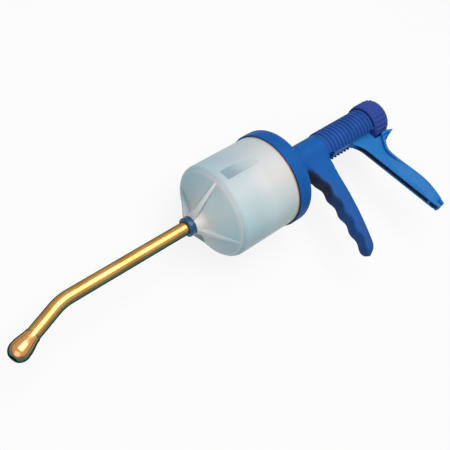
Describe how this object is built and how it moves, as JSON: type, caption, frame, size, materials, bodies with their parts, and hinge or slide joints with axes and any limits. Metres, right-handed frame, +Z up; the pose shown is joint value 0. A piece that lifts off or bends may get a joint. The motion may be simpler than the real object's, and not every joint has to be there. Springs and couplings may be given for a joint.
{
  "type": "livestock drencher",
  "caption": "Hand drenching gun: milky barrel with a funnel front, bent brass nozzle, fixed front grip, sliding rear lever with piston and a screw dose stop.",
  "frame": {"origin": "on the barrel's axis, at the lip where the barrel meets the handle's flange", "axes": "+X along the barrel's axis towards the dose nut, so the nozzle points to -X; -Y along both grips; +Z up, square to the plane of the grips, with the gun lying on its side"},
  "size_m": [0.4156, 0.1528, 0.0874],
  "materials": {
    "body_blue": "moulded, satin",
    "thread_blue": "moulded, satin",
    "lever_blue": "moulded, satin",
    "nut_blue": "moulded, satin",
    "milky": "translucent, moulded",
    "brass": "polished",
    "copper": "polished, pinker alloy",
    "white": "moulded",
    "steel": "turned",
    "rubber": "matte",
    "gasket_red": "matte"
  },
  "bodies": {
    "body": {"handle_body": "body_blue", "screw_tube": "thread_blue", "barrel": "milky", "barrel_gasket": "gasket_red", "rod_bush": "white", "outlet_collar": "nut_blue", "nozzle_seal": "rubber", "nozzle_ferrule": "brass", "nozzle_tube": "brass", "nozzle_tip": "copper"},
    "plunger": {"rear_lever": "lever_blue", "piston_rod": "steel", "rod_pin": "steel", "piston_front": "white", "piston_seal": "rubber", "piston_back": "white", "piston_washer": "steel", "piston_screw": "steel"},
    "dose_stop": {"stop_washer": "nut_blue"},
    "dose_nut": {"dose_nut": "nut_blue"}
  },
  "joints": [
    {"name": "plunger_slide", "type": "slide", "parent": "body", "child": "plunger", "axis": [-1, 0, 0], "range_m": [0, 0.0345]},
    {"name": "dose_advance", "type": "slide", "parent": "body", "child": "dose_stop", "axis": [1, 0, 0], "range_m": [0, 0.0091]},
    {"name": "dose_turn", "type": "hinge", "parent": "dose_stop", "child": "dose_nut", "pos_m": [0.14, 0, 0], "axis": [1, 0, 0], "range_deg": [0, 720]}
  ],
  "couplings": [
    {"joint": "dose_advance", "follows": "dose_turn", "m_per_rad": 0.0007162}
  ]
}
